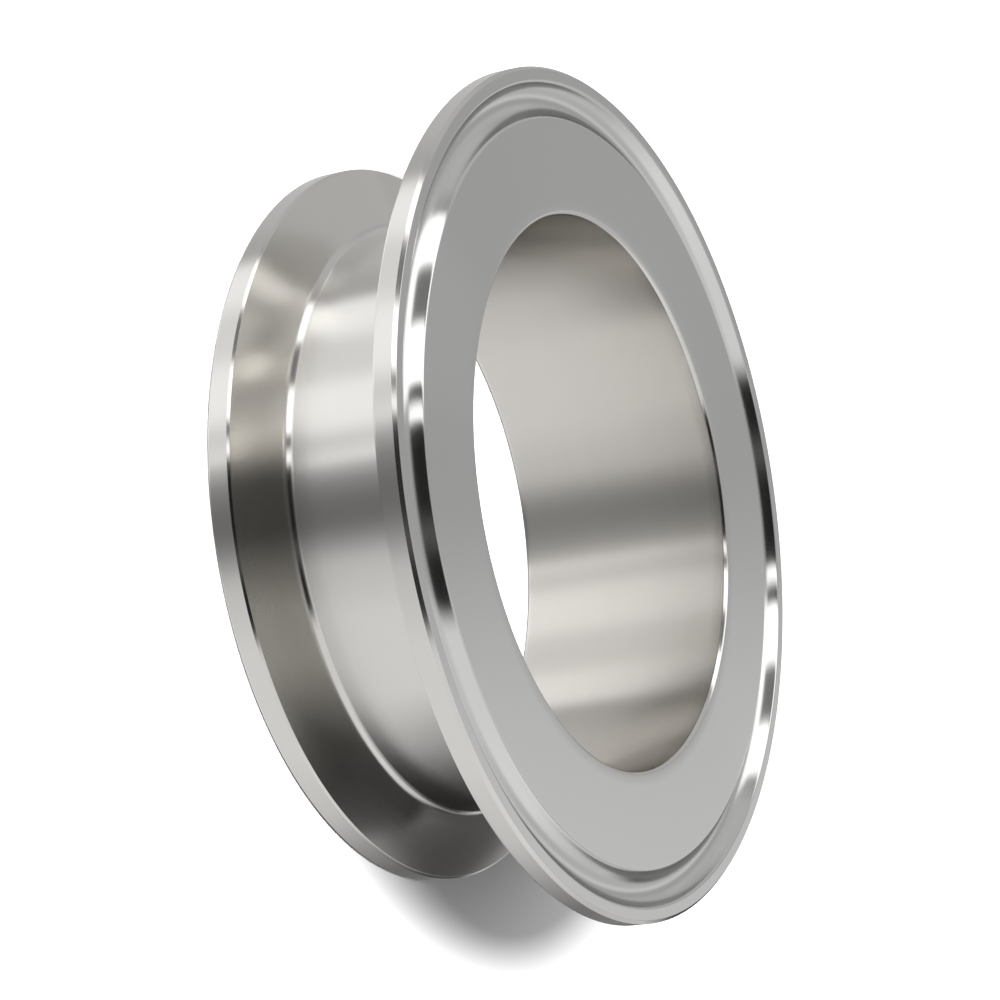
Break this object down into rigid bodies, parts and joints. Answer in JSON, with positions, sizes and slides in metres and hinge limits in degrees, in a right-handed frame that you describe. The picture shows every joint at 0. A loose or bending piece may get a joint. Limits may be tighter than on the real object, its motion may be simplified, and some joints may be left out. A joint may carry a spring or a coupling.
{
  "type": "sanitary clamp reducing cap",
  "caption": "Turned stainless steel reducing cap that joins a large sanitary clamp flange to a smaller one through an open bore.",
  "frame": {"origin": "centre of the small flange's end face, on the surface that the part stands on", "axes": "+Z along the bore axis, from the small flange towards the large flange; X and Y are any two directions square to it"},
  "size_m": [0.091, 0.091, 0.0255],
  "materials": {
    "stainless_steel": "satin turned, with polished gasket grooves"
  },
  "bodies": {
    "root": {"reducing_cap": "stainless_steel"}
  },
  "joints": []
}
